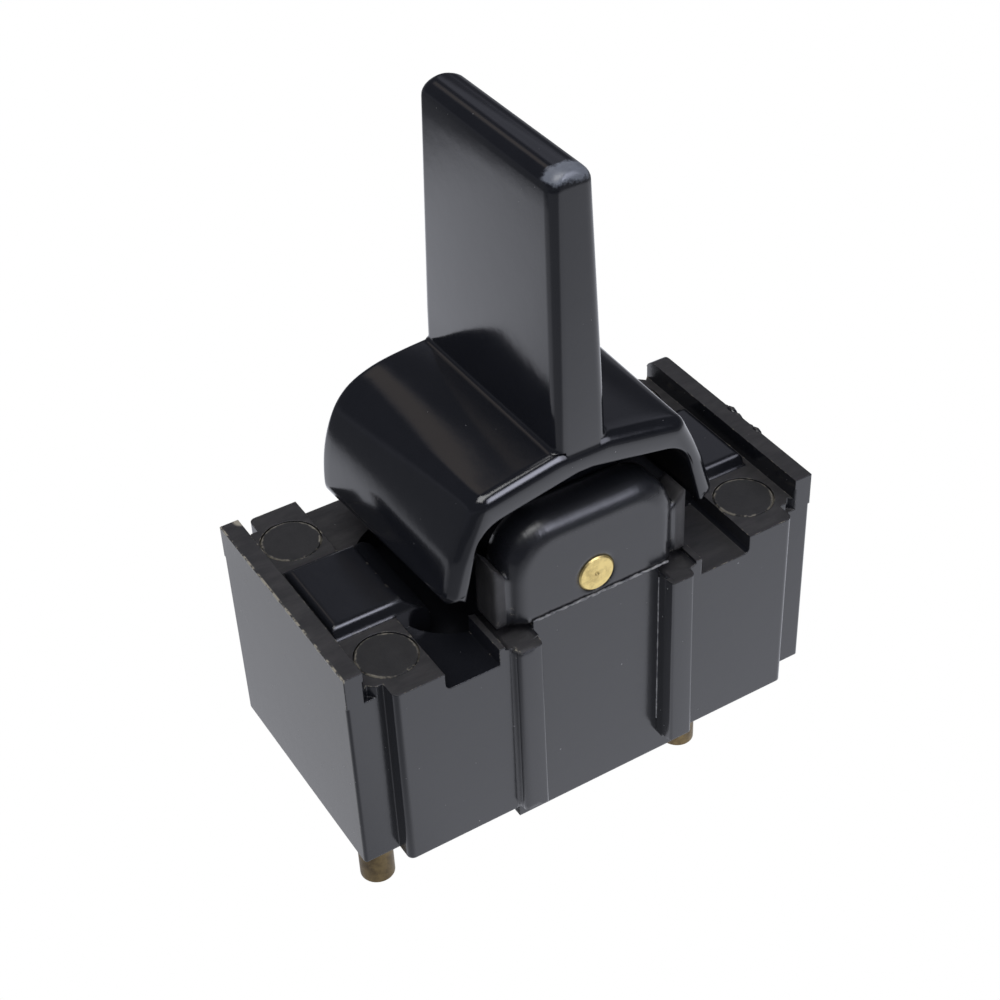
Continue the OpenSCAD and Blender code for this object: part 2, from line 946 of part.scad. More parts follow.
housing();
base_plate();
base_screws();
plug(-1, -1);  // plug_front_left
plug(1, -1);  // plug_front_right
plug(-1, 1);  // plug_rear_left
plug(1, 1);  // plug_rear_right
pivot_pin();
lever();
drive_pin();
centring_spring();
carriage();
bridge(-1);  // bridge_front
bridge(1);  // bridge_rear
bridge_spring(-1);  // bridge_spring_front
bridge_spring(1);  // bridge_spring_rear
terminal(-outer_terminal_x, -outer_terminal_row);  // terminal_front_outer
terminal(inner_terminal_x, -inner_terminal_row);  // terminal_front_inner
terminal(outer_terminal_x, outer_terminal_row);  // terminal_rear_outer
terminal(-inner_terminal_x, inner_terminal_row);  // terminal_rear_inner
terminal(0, 0);  // terminal_common
outer_strap();  // strap_front_outer
inner_strap();  // strap_front_inner
turned() outer_strap();  // strap_rear_outer
turned() inner_strap();  // strap_rear_inner
common_strap();  // strap_common
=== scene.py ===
import math
import random

import bmesh
import bpy
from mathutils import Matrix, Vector


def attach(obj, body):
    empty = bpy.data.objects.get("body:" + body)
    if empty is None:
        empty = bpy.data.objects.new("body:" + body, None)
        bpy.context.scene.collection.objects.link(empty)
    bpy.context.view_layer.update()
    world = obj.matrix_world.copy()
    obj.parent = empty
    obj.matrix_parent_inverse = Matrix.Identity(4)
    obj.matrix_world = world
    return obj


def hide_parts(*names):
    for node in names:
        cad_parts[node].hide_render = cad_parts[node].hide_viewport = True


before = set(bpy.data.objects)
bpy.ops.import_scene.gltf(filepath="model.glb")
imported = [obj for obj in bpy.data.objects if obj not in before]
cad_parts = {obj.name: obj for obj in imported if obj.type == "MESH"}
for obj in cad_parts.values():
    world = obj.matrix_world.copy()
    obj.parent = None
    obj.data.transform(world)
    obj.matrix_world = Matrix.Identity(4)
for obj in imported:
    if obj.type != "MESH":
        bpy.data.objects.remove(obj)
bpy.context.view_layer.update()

# ---------------------------------------------------------------------------------------------
# Camera and stage. The camera looks down on the front and the left end; the floor and the sky
# are plain white to the eye, and the gloss of the mouldings mirrors a soft room around them.

MM = 0.001
CAMERA_PLACE, CAMERA_TURN = (-56.583, -96.213, 114.907), (50.8702, 2.1627, -31.5313)
CAMERA_LENS, SENSOR_WIDTH = 69.234, 36
NEAREST, FARTHEST = 0.005, 20
WHITE = (1.0, 1.0, 1.0)


def point(x, y, z):
    return Vector((x, y, z)) * MM


camera = bpy.data.objects.new("camera", bpy.data.cameras.new("camera"))
bpy.context.scene.collection.objects.link(camera)
camera.location = point(*CAMERA_PLACE)
camera.rotation_euler = [math.radians(angle) for angle in CAMERA_TURN]
camera.data.lens = CAMERA_LENS
camera.data.sensor_width = SENSOR_WIDTH
camera.data.clip_start = NEAREST
camera.data.clip_end = FARTHEST
bpy.context.scene.camera = camera
bpy.context.scene.view_settings.view_transform = "Standard"


class Shader:
    """A node tree written as short calls; a number, a colour or another node's output goes in."""

    def __init__(self, owner, empty=False):
        owner.use_nodes = True
        self.owner = owner
        self.tree = owner.node_tree
        if empty:
            self.tree.nodes.clear()
        self.bsdf = self.tree.nodes.get("Principled BSDF")
        self.split = {}

    def put(self, socket, value):
        if isinstance(value, bpy.types.NodeSocket):
            self.tree.links.new(value, socket)
        elif isinstance(value, (tuple, list)) and len(value) == 3 and socket.type == "RGBA":
            socket.default_value = (*value, 1)
        else:
            socket.default_value = value

    def node(self, kind, *values, **settings):
        made = self.tree.nodes.new("ShaderNode" + kind)
        for name, value in settings.items():
            setattr(made, name, value)
        for place, value in enumerate(values):
            if value is not None:
                self.put(made.inputs[place], value)
        return made

    def math(self, operation, *values):
        return self.node("Math", *values, operation=operation).outputs[0]

    def times(self, first, *others):
        for other in others:
            first = self.math("MULTIPLY", first, other)
        return first

    def plus(self, first, *others):
        for other in others:
            first = self.math("ADD", first, other)
        return first

    def most(self, first, *others):
        for other in others:
            first = self.math("MAXIMUM", first, other)
        return first

    def step(self, value, low, high):
        """0 at low and 1 at high, eased between; low may be the larger."""
        made = self.node("MapRange", value, low, high, 0.0, 1.0, interpolation_type="SMOOTHSTEP")
        if low > high:
            made.inputs[1].default_value, made.inputs[2].default_value = high, low
            made.inputs[3].default_value, made.inputs[4].default_value = 1.0, 0.0
        return made.outputs[0]

    def over(self, value, edge, soft=0.1):
        """1 where the value is over the edge, fading out within soft of it."""
        return self.step(value, edge - soft, edge + soft)

    def under(self, value, edge, soft=0.1):
        return self.step(value, edge + soft, edge - soft)

    def between(self, value, low, high, soft=0.1):
        return self.times(self.over(value, low, soft), self.under(value, high, soft))

    def mix(self, first, second, amount):
        made = self.node("Mix", data_type="RGBA")
        self.put(made.inputs[0], amount)
        self.put(made.inputs[6], first)
        self.put(made.inputs[7], second)
        return made.outputs[2]

    def level(self, first, second, amount):
        """A number that goes from first to second with the amount."""
        return self.node("MapRange", amount, 0.0, 1.0, first, second).outputs[0]

    def place(self):
        """Object coordinates in millimetres: the vector, then x, y and z."""
        if "place" not in self.split:
            raw = self.node("TexCoord").outputs["Object"]
            vector = self.node("VectorMath", raw, (1 / MM, 1 / MM, 1 / MM), operation="MULTIPLY").outputs[0]
            parts = self.node("SeparateXYZ", vector).outputs
            self.split["place"] = (vector, parts[0], parts[1], parts[2])
        return self.split["place"]

    def facing(self):
        """The way the surface faces in the object's own axes: x, y and z."""
        if "facing" not in self.split:
            parts = self.node("SeparateXYZ", self.node("TexCoord").outputs["Normal"]).outputs
            self.split["facing"] = (parts[0], parts[1], parts[2])
        return self.split["facing"]

    def distance(self, x, y, centre_x, centre_y):
        """How far x, y is from a centre, both in millimetres."""
        along, across = self.math("SUBTRACT", x, centre_x), self.math("SUBTRACT", y, centre_y)
        return self.math("SQRT", self.plus(self.times(along, along), self.times(across, across)))

    def noise(self, scale, detail=3.0, rough=0.6, stretch=(1, 1, 1), shift=(0, 0, 0)):
        """Noise with about scale features to the millimetre."""
        spot = self.node("Mapping", self.place()[0], shift, None, stretch).outputs[0]
        made = self.node("TexNoise", spot)
        made.inputs["Scale"].default_value = scale
        made.inputs["Detail"].default_value = detail
        made.inputs["Roughness"].default_value = rough
        return made.outputs[0]

    def specks(self, scale, size, shift=(0, 0, 0)):
        """Sparse round specks, 1 inside and 0 outside."""
        spot = self.node("Mapping", self.place()[0], shift).outputs[0]
        made = self.node("TexVoronoi", spot)
        made.inputs["Scale"].default_value = scale
        one_in_eight = self.over(self.node("SeparateColor", made.outputs["Color"]).outputs[0], 0.87, 0.01)
        return self.times(self.step(made.outputs["Distance"], size, size * 0.6), one_in_eight)

    def bump(self, height, distance, normal=None):
        """A normal roughened by the height, distance millimetres deep."""
        made = self.node("Bump")
        made.inputs["Distance"].default_value = distance * MM
        made.inputs["Strength"].default_value = 1.0
        self.put(made.inputs["Height"], height)
        if normal is not None:
            self.put(made.inputs["Normal"], normal)
        return made.outputs[0]

    def glow(self, kind, mirrored, plain, tint):
        """White to the camera, mirrored in reflections and plain to every other ray."""
        rays = self.node("LightPath").outputs
        strength = self.level(plain, mirrored, rays["Is Glossy Ray"])
        strength = self.level(strength, 1.0, rays["Is Camera Ray"])
        return self.node(kind, self.mix(tint, WHITE, rays["Is Camera Ray"]), strength).outputs[0]

    def finish(self, colour, roughness, normal=None, metal=0.0, ior=1.5):
        self.put(self.bsdf.inputs["Base Color"], colour)
        self.put(self.bsdf.inputs["Roughness"], roughness)
        self.bsdf.inputs["Metallic"].default_value = metal
        self.bsdf.inputs["IOR"].default_value = ior
        if normal is not None:
            self.put(self.bsdf.inputs["Normal"], normal)
        return self.owner


# How bright the table is in reflections. Places are in millimetres from the object's middle.
TABLE_LEFT, TABLE_RIGHT, TABLE_TURN = 0.68, 1.16, (-24.0, -9.0)
TABLE_FAR, TABLE_FALL = 0.72, (30.0, 120.0)
PATCH_MIDDLE, PATCH_RIM, PATCH_HEART, PATCH_GLOW = (-40, 68), 42.0, 12.0, 0.42
CORNER_X, CORNER_Y, CORNER_SHADE = (-14.0, -34.0), (2.0, -18.0), 0.55
BEHIND_AWAY, BEHIND_Y, FAR_AWAY, FAR_SHADE = (98.0, 122.0), (-30.0, 10.0), (140.0, 180.0), 0.25
FLOOR_PLAIN, FLOOR_TINT, FLOOR_REACH = 0.7, (0.96, 0.98, 1.07), 3


def floor_white():
    """White to the eye; in reflections a lit table, brightest near the object."""
    shader = Shader(bpy.data.materials.new("floor_white"), empty=True)
    _, x, y, _ = shader.place()
    away = shader.distance(x, y, 0, 0)
    bright_patch = shader.step(shader.distance(x, y, *PATCH_MIDDLE), PATCH_RIM, PATCH_HEART)
    table = shader.level(TABLE_LEFT, TABLE_RIGHT, shader.step(x, *TABLE_TURN))
    table = shader.times(table, shader.level(1.0, TABLE_FAR, shader.step(away, *TABLE_FALL)))
    table = shader.plus(table, shader.times(bright_patch, PATCH_GLOW))
    corner = shader.times(shader.step(x, *CORNER_X), shader.step(y, *CORNER_Y))
    table = shader.times(table, shader.level(1.0, CORNER_SHADE, corner))
    behind = shader.times(shader.step(away, *BEHIND_AWAY), shader.step(y, *BEHIND_Y))
    far = shader.most(behind, shader.step(away, *FAR_AWAY))
    table = shader.times(table, shader.level(1.0, FAR_SHADE, far))
    shell = shader.glow("Emission", table, FLOOR_PLAIN, FLOOR_TINT)
    shader.tree.links.new(shell, shader.node("OutputMaterial").inputs[0])
    return shader.owner


floor_mesh = bmesh.new()
bmesh.ops.create_grid(floor_mesh, x_segments=1, y_segments=1, size=FLOOR_REACH)
floor = bpy.data.objects.new("floor", bpy.data.meshes.new("floor"))
floor_mesh.to_mesh(floor.data)
floor_mesh.free()
bpy.context.scene.collection.objects.link(floor)
floor.data.materials.append(floor_white())

# The room that the gloss mirrors, by direction: across is X, along is Y and up is Z, from -1 to 1.
ROOM_LOW, ROOM_HIGH, ROOM_TURN = 0.18, 0.06, (-0.02, 0.12)
CARD_ACROSS, CARD_ALONG, CARD_UP, CARD_GLOW = (-0.12, 0.09, 0.05), (0.3, 0.5), (0.5, 0.62), 0.32
WALL_ACROSS, WALL_ALONG, WALL_UP, WALL_GLOW = (0.24, 0.36), (0.3, 0.5), (0.3, 0.5), 0.25
WINDOW_ACROSS, WINDOW_ALONG, WINDOW_UP = (0.05, 0.62, 0.06), (-0.84, -0.4, 0.06), (0.42, 0.84, 0.05)
WINDOW_GLOW, WINDOW_FAR_SIDE, WINDOW_TURN = 6.5, 0.4, (0.28, 0.42)
SKY_PLAIN, SKY_TINT, CARD_TINT = 0.6, (0.94, 0.96, 1.13), (1.12, 0.98, 0.88)

sky = bpy.data.worlds.new("sky")
bpy.context.scene.world = sky
air = Shader(sky, empty=True)
look = air.node("TexCoord").outputs["Generated"]
across, along, up = air.node("SeparateXYZ", look).outputs[:3]
room = air.level(ROOM_LOW, ROOM_HIGH, air.step(up, *ROOM_TURN))
card = air.times(air.between(across, *CARD_ACROSS), air.step(up, *CARD_UP), air.step(along, *CARD_ALONG))
wall = air.times(air.step(across, *WALL_ACROSS), air.step(along, *WALL_ALONG), air.step(up, *WALL_UP))
window = air.times(
    air.between(across, *WINDOW_ACROSS),
    air.level(1.0, WINDOW_FAR_SIDE, air.step(across, *WINDOW_TURN)),
    air.between(along, *WINDOW_ALONG),
    air.between(up, *WINDOW_UP),
)
mirrored = air.plus(
    room, air.times(card, CARD_GLOW), air.times(wall, WALL_GLOW), air.times(window, WINDOW_GLOW)
)
shell = air.glow("Background", mirrored, SKY_PLAIN, air.mix(SKY_TINT, CARD_TINT, card))
air.tree.links.new(shell, air.node("OutputWorld").inputs[0])

LAMP_PLACE, LAMP_SIDE, LAMP_WATTS = (-0.15, -0.1, 0.6), 0.35, 1.6
overhead = bpy.data.objects.new("overhead", bpy.data.lights.new("overhead", "AREA"))
bpy.context.scene.collection.objects.link(overhead)
overhead.data.size = LAMP_SIDE
overhead.data.energy = LAMP_WATTS
overhead.location = LAMP_PLACE
overhead.rotation_euler = (-Vector(LAMP_PLACE)).to_track_quat("-Z", "Y").to_euler()


# ---------------------------------------------------------------------------------------------
# Housing: one black moulding. The sides are glossy, the faces ground after moulding are matt and
# a little paler, and the sharp corners are chipped to a pale yellow-white.

MOULDED_IOR = 1.6
GLOSS_DEEP, GLOSS_PALE = (0.0075, 0.0082, 0.0105), (0.0115, 0.0122, 0.0145)
MATT_DEEP, MATT_PALE = (0.0165, 0.0158, 0.0165), (0.036, 0.034, 0.033)
# the end colour is a painted reflection on the left end face; the chip and dust colours are real marks
END_PAINTED_SHEEN, CHIPPED, DUST = (0.034, 0.032, 0.024), (0.36, 0.33, 0.25), (0.3, 0.3, 0.29)
GLOSS_ROUGH, MATT_ROUGH, CHIP_ROUGH, CREST_ROUGH = (0.14, 0.21), 0.62, 0.4, 0.14
EDGE_RADIUS, WIDE_EDGE_RADIUS = 0.14, 0.55
GRAIN_DEPTH = 0.012
# where the finishes change, in millimetres: heights first, then places in X and Y
GROUND_LOW, GROUND_HIGH, OVER_SLOTS, OVER_PADS, RIM_TOP = 20.4, 24.3, 21.6, 22.7, 24.1
PLATFORM_FOOT, LUG_FOOT, LUG_CREST, EAR_TOP = 22.15, 22.8, 29.1, 26.2
LUG_SIDE, EAR_SIDE, RIM_INNER, END_FACE = 7.225, 8.7, 18.1, 19.875
PLATFORM_DEEP, PLATFORM_EDGE = 4.4, 4.9
RIB_X, RIB_FRONT = (-7.8, -6.3), -11.3
TORN_CHIP, TORN_RADIUS = (-18.3, 9.6), (0.8, 0.5)


def wear(shader, bevelled):
    """1 on a sharp corner, from how far the softened normal leans away from the face."""
    flat = shader.node("NewGeometry").outputs["True Normal"]
    lean = shader.node("VectorMath", bevelled, flat, operation="DOT_PRODUCT").outputs["Value"]
    return shader.step(lean, 0.985, 0.9)


def lug_sides(shader):
    """1 on the two upright lugs and the ears beside them."""
    _, x, _, z = shader.place()
    return shader.times(shader.over(z, LUG_FOOT), shader.under(shader.math("ABSOLUTE", x), EAR_SIDE))


def wide_edges(shader, on_lug):
    """More than 0 where the corners are rounder: on the lugs, the platforms and the left rib."""
    _, x, y, z = shader.place()
    wide, deep = shader.math("ABSOLUTE", x), shader.math("ABSOLUTE", y)
    on_platform = shader.times(
        shader.over(z, PLATFORM_FOOT, 0.15), shader.under(deep, PLATFORM_EDGE), shader.under(wide, RIM_INNER)
    )
    on_rib = shader.times(
        shader.under(x, RIB_X[1], 0.2), shader.over(x, RIB_X[0]), shader.under(y, RIB_FRONT)
    )
    return shader.most(on_lug, shader.times(on_platform, 0.4), on_rib)


def ground_faces(shader):
    """1 on the faces ground after moulding: rims, pads and slot floors, and nearly 1 on the ears."""
    _, x, y, z = shader.place()
    wide, deep = shader.math("ABSOLUTE", x), shader.math("ABSOLUTE", y)
    up = shader.facing()[2]
    on_platform = shader.times(shader.under(deep, PLATFORM_DEEP, 0.05), shader.under(wide, RIM_INNER))
    tops = shader.times(shader.over(up, 0.935, 0.035), shader.between(z, GROUND_LOW, GROUND_HIGH, 0.05))
    ground = shader.times(tops, shader.math("SUBTRACT", 1.0, on_platform))
    # two of the four slot floors, on opposite corners, are left as moulded
    as_ground = shader.most(shader.over(z, OVER_SLOTS), shader.under(shader.times(x, y), 0, 1))
    ground = shader.times(ground, as_ground)
    ear_top = shader.times(shader.over(x, 7.5), shader.under(x, EAR_SIDE), shader.over(z, EAR_TOP, 0.2))
    ground = shader.most(ground, shader.times(ear_top, shader.over(up, 0.4)))
    ear = shader.times(
        shader.over(wide, LUG_SIDE, 0.075),
        shader.under(wide, EAR_SIDE),
        shader.over(z, LUG_FOOT + 0.075, 0.075),
    )
    return shader.most(ground, shader.times(ear, 0.9))


def chipped_edges(shader, edge, ground):
    """1 on the pale chips along the moulding's top corners and on the broken left rim."""
    _, x, y, z = shader.place()
    broken = shader.step(shader.noise(1.3, 4.0, 0.8, shift=(3, 1, 2)), 0.54, 0.64)
    near_top = shader.between(z, GROUND_LOW + 0.1, GROUND_HIGH)
    chips = shader.times(edge, broken, near_top, shader.most(ground, 0.35))
    rim_edge = shader.times(shader.under(x, -19.89, 0.05), shader.over(z, RIM_TOP - 0.2))
    rim_chips = shader.times(rim_edge, shader.step(shader.noise(1.1, 4.0, 0.8), 0.47, 0.56))
    torn = shader.step(shader.distance(x, y, *TORN_CHIP), *TORN_RADIUS)
    torn = shader.times(torn, shader.over(z, OVER_PADS))
    return shader.most(chips, shader.most(rim_chips, torn))


def housing_black():
    shader = Shader(bpy.data.materials.new("housing_black"))
    _, x, _, z = shader.place()
    on_lug = lug_sides(shader)
    radius = shader.plus(EDGE_RADIUS * MM, shader.times(wide_edges(shader, on_lug), WIDE_EDGE_RADIUS * MM))
    soft = shader.node("Bevel", radius, samples=8).outputs[0]
    ground = ground_faces(shader)
    mottle = shader.noise(0.55, 5.0, 0.65)
    fine = shader.noise(7.0, 3.0, 0.7)
    scratch = shader.noise(0.9, 5.0, 0.7, stretch=(0.5, 1.6, 1))
    ticks = shader.noise(3.2, 2.0, 0.5, stretch=(1, 0.05, 0.05))
    # painted reflection: the left end face gets a paler, warmer colour standing in for the lit table it
    # mirrors
    left_end_sheen = shader.times(
        shader.under(shader.facing()[0], -0.94, 0.04),
        shader.over(shader.math("ABSOLUTE", x), END_FACE, 0.075),
    )
    gloss = shader.mix(shader.mix(GLOSS_DEEP, GLOSS_PALE, mottle), END_PAINTED_SHEEN, left_end_sheen)
    matt = shader.mix(MATT_DEEP, MATT_PALE, shader.step(scratch, 0.3, 0.75))
    colour = shader.mix(gloss, matt, ground)
    chips = chipped_edges(shader, wear(shader, soft), ground)
    colour = shader.mix(colour, CHIPPED, shader.times(chips, 0.8))
    dust = shader.most(shader.specks(0.9, 0.07), shader.specks(1.7, 0.05, (5, 2, 7)))
    colour = shader.mix(colour, DUST, shader.times(dust, 0.7))
    lug_crest = shader.times(on_lug, shader.over(z, LUG_CREST, 0.5))
    rough = shader.level(shader.level(*GLOSS_ROUGH, fine), MATT_ROUGH, ground)
    rough = shader.plus(rough, shader.times(shader.most(chips, dust), CHIP_ROUGH))
    rough = shader.plus(rough, shader.times(lug_crest, CREST_ROUGH))
    grain = shader.plus(shader.times(fine, shader.level(0.25, 1.0, ground)), shader.times(mottle, 0.8))
    grain = shader.plus(grain, shader.times(ticks, lug_crest, 1.6))
    return shader.finish(colour, rough, shader.bump(grain, GRAIN_DEPTH, soft), ior=MOULDED_IOR)


def dress(node, material):
    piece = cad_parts[node]
    piece.data.materials.clear()
    piece.data.materials.append(material)
    return piece


housing = dress("housing", housing_black())


# ---------------------------------------------------------------------------------------------
# Sealing plugs: dull discs pressed into the four corner pads, each with a pale broken ring
# where the moulding cracked round it.

PLUG_DEEP, PLUG_PALE, CRACKED = (0.014, 0.014, 0.0145), (0.034, 0.033, 0.032), (0.24, 0.22, 0.17)
PLUG_X, PLUG_Y, RING_INNER, RING_OUTER = 15.5, 7.4, 2.06, 2.24


def plug_black():
    shader = Shader(bpy.data.materials.new("plug_black"))
    _, x, y, _ = shader.place()
    wide, deep = shader.math("ABSOLUTE", x), shader.math("ABSOLUTE", y)
    radius = shader.distance(wide, deep, PLUG_X, PLUG_Y)
    fine = shader.noise(5.0, 4.0, 0.7)
    colour = shader.mix(PLUG_DEEP, PLUG_PALE, shader.noise(0.9, 5.0, 0.7))
    wobble = shader.math("MULTIPLY_ADD", shader.noise(1.2, 3.0, 0.7), 0.5, -0.25)
    ring = shader.step(shader.plus(radius, wobble), RING_INNER, RING_OUTER)
    ring = shader.times(ring, shader.step(shader.noise(0.8, 4.0, 0.8, shift=(1, 4, 0)), 0.44, 0.54))
    colour = shader.mix(colour, CRACKED, shader.times(ring, 0.85))
    return shader.finish(colour, shader.level(0.45, 0.65, fine), shader.bump(fine, 0.02))


plug_finish = plug_black()
for corner in ("front_left", "front_right", "rear_left", "rear_right"):
    dress("plug_" + corner, plug_finish)


# ---------------------------------------------------------------------------------------------
# Lever: a paddle on an arched saddle, one glossy moulding. The saddle's shoulders are folded at
# the front and melt into a round sweep at the back; the hub inside the arch is carried over.

PIVOT = 24.6
SADDLE_FRONT, SADDLE_BACK = -9.35, 9.05
FRONT_ROUND, BACK_ROUND, LINING_ROUND = 1.15, 0.6, 0.2
SIDE_STEPS, TOP_STEPS = 26, 22
# half outlines in X and height above the pin, from the foot over the shoulder to the crown
FRONT_FOOT = [(11.2, 1.3), (11.4, 1.75), (10.5, 4.7)]
UNDER_FOLD, FOLD, PAST_FOLD, FOLD_RADIUS = (9.7, 6.6), (8.5, 9.2), (7.0, 9.49), 1.3
FRONT_CROWN = [(2.0, 10.45), (0, 10.45)]
BACK_OUTLINE = [
    (11.5, 0.0), (11.75, 0.5), (11.6, 2.8), (11.3, 4.5), (10.75, 6.2),
    (10.0, 7.6), (8.8, 8.75), (7.0, 9.5), (5.1, 9.85), (2.0, 10.1), (0.0, 10.1),
]
BACK_SHOULDER = (9.45, 8.2)
ARCH_SIDE = 9.85
ARCH_OUTLINE = [(ARCH_SIDE, 0.0), (ARCH_SIDE, 1.3), (8.5, 6.85), (0.6, 8.4), (0, 8.4)]
ARCH_RADII = [2, 2.6, 0.5]


def rounded(points, radii, steps=6):
    """The open line through the points, with the inner corners turned into arcs."""
    line = [Vector(points[0])]
    for before, corner, after, radius in zip(points, points[1:], points[2:], radii):
        before, corner, after = Vector(before), Vector(corner), Vector(after)
        into, out = (before - corner).normalized(), (after - corner).normalized()
        half = into.angle(out) / 2
        centre = corner + (into + out).normalized() * radius / math.sin(half)
        first = corner + into * radius / math.tan(half) - centre
        last = corner + out * radius / math.tan(half) - centre
        turn = first.angle_signed(last)
        for k in range(steps + 1):
            angle = -turn * k / steps
            c, s = math.cos(angle), math.sin(angle)
            line.append(centre + Vector((first.x * c - first.y * s, first.x * s + first.y * c)))
    line.append(Vector(points[-1]))
    return line


def spaced(line, count):
    """Count + 1 points along the line, evenly spaced by length."""
    lengths = [0.0]
    for a, b in zip(line, line[1:]):
        lengths.append(lengths[-1] + (b - a).length)
    found = []
    for k in range(count + 1):
        goal = lengths[-1] * k / count
        i = max(j for j in range(len(line) - 1) if lengths[j] <= goal + 1e-9)
        part = (goal - lengths[i]) / max(lengths[i + 1] - lengths[i], 1e-9)
        found.append(line[i].lerp(line[i + 1], min(part, 1.0)))
    return found


def smoothed(points, rounds=3):
    """Corner cutting that keeps the two ends."""
    line = [Vector(p) for p in points]
    for _ in range(rounds):
        cut = [line[0]]
        for a, b in zip(line, line[1:]):
            cut += [a.lerp(b, 0.25), a.lerp(b, 0.75)]
        line = cut + [line[-1]]
    return line


fold = rounded([UNDER_FOLD, FOLD, PAST_FOLD], [FOLD_RADIUS], 10)
to_fold = rounded(FRONT_FOOT + [UNDER_FOLD, (8.62, 8.95)], [0.3, 6, 6])
past_fold = rounded([PAST_FOLD] + FRONT_CROWN, [0.8])
front_half = spaced(to_fold[:-1] + fold[:7], SIDE_STEPS) + spaced(fold[6:-1] + past_fold, TOP_STEPS)[1:]
back_line = smoothed(BACK_OUTLINE)
turn_at = min(range(len(back_line)), key=lambda i: (back_line[i] - Vector(BACK_SHOULDER)).length)
back_half = spaced(back_line[:turn_at + 1], SIDE_STEPS) + spaced(back_line[turn_at:], TOP_STEPS)[1:]
arch_half = rounded(ARCH_OUTLINE, ARCH_RADII)


def both_halves(half):
    return [(p.x, p.y) for p in half] + [(-p.x, p.y) for p in reversed(half[:-1])]


def pulled_in(outline, inset):
    """The outline moved towards its inside, each point along its own normal."""
    moved = []
    for i, (x, z) in enumerate(outline):
        before, after = outline[max(i - 1, 0)], outline[min(i + 1, len(outline) - 1)]
        along = Vector((after[0] - before[0], after[1] - before[1])).normalized()
        moved.append((x - along.y * inset, z + along.x * inset))
    return moved


def saddle_stations(front_steps=8, middle_steps=20, back_steps=6):
    """Y, and how far the outer and inner edges are pulled in there, from the front to the back."""
    stations = []
    for k in range(front_steps + 1):
        angle = math.radians(90 * k / front_steps)
        y, inset = FRONT_ROUND * (1 - math.cos(angle)), FRONT_ROUND * (1 - math.sin(angle))
        stations.append((SADDLE_FRONT + y, inset, LINING_ROUND * max(0, 1 - k / 3)))
    straight = SADDLE_BACK - SADDLE_FRONT - FRONT_ROUND - BACK_ROUND
    for k in range(1, middle_steps):
        stations.append((SADDLE_FRONT + FRONT_ROUND + straight * k / middle_steps, 0.0, 0.0))
    for k in range(back_steps + 1):
        angle = math.radians(90 * k / back_steps)
        y, inset = BACK_ROUND * (1 - math.sin(angle)), BACK_ROUND * (1 - math.cos(angle))
        stations.append((SADDLE_BACK - y, inset, LINING_ROUND * max(0, k / 2 - 2)))
    return stations


def saddle(mesh):
    rows = []
    for y, outer_inset, inner_inset in saddle_stations():
        share = (y - SADDLE_FRONT) / (SADDLE_BACK - SADDLE_FRONT)
        half = [a.lerp(b, share) for a, b in zip(front_half, back_half)]
        outer = pulled_in(both_halves(half), outer_inset)
        foot = half[0].y
        # arch points below the foot are left out, and the lining starts level with it
        arch = [Vector((ARCH_SIDE, foot))] + [p for p in arch_half[1:] if p.y > foot + 0.1]
        inner = pulled_in(both_halves(spaced(arch, len(half) - 1)), -inner_inset)
        ring = [mesh.verts.new(point(x, y, PIVOT + z)) for x, z in outer]
        lining = [mesh.verts.new(point(x, y, PIVOT + z)) for x, z in inner]
        rows.append((ring, lining))
    for (ring, lining), (next_ring, next_lining) in zip(rows, rows[1:]):
        for a, b, c, d in zip(ring, ring[1:], next_ring[1:], next_ring):
            mesh.faces.new((a, b, c, d))
        for a, b, c, d in zip(lining, next_lining, next_lining[1:], lining[1:]):
            mesh.faces.new((a, b, c, d))
        mesh.faces.new((ring[0], next_ring[0], next_lining[0], lining[0]))
        mesh.faces.new((ring[-1], lining[-1], next_lining[-1], next_ring[-1]))
    for ring, lining in (rows[0], rows[-1]):
        for a, b, c, d in zip(ring, lining, lining[1:], ring[1:]):
            mesh.faces.new((a, b, c, d))


def box_ring(half_x, half_y, radius, steps=7):
    """Points and outward directions round a rectangle with round corners."""
    ring = []
    for corner, (sx, sy) in enumerate([(1, 1), (-1, 1), (-1, -1), (1, -1)]):
        for k in range(steps + 1):
            angle = math.radians(90 * corner + 90 * k / steps)
            out = Vector((math.cos(angle), math.sin(angle)))
            ring.append((Vector((sx * (half_x - radius), sy * (half_y - radius))) + out * radius, out))
    return ring


# half-thickness and half-width of the paddle at its root and under its domed top
ROOT_HALF_X, ROOT_HALF_Y, TOP_HALF_X, TOP_HALF_Y, PADDLE_CORNER = 2.1, 9.12, 1.7, 8.4, 0.9
ROOT_HEIGHT, TOP_HEIGHT, BLEND_HEIGHT = 10.2, 31.2, 1.2
FILLET, DOME, DOME_INSET = 0.4, 1.2, 1.3
CROWN_FRONT, CROWN_FALL, FRONT_SLOPE, BACK_SLOPE = 10.45, 0.35, 0.192, 0.08


def saddle_height(x, y):
    """How high the saddle's top stands over the pin."""
    share = (y - SADDLE_FRONT) / (SADDLE_BACK - SADDLE_FRONT)
    slope = FRONT_SLOPE + (BACK_SLOPE - FRONT_SLOPE) * share
    return CROWN_FRONT - CROWN_FALL * share - max(0, abs(x) - 2.0) * slope


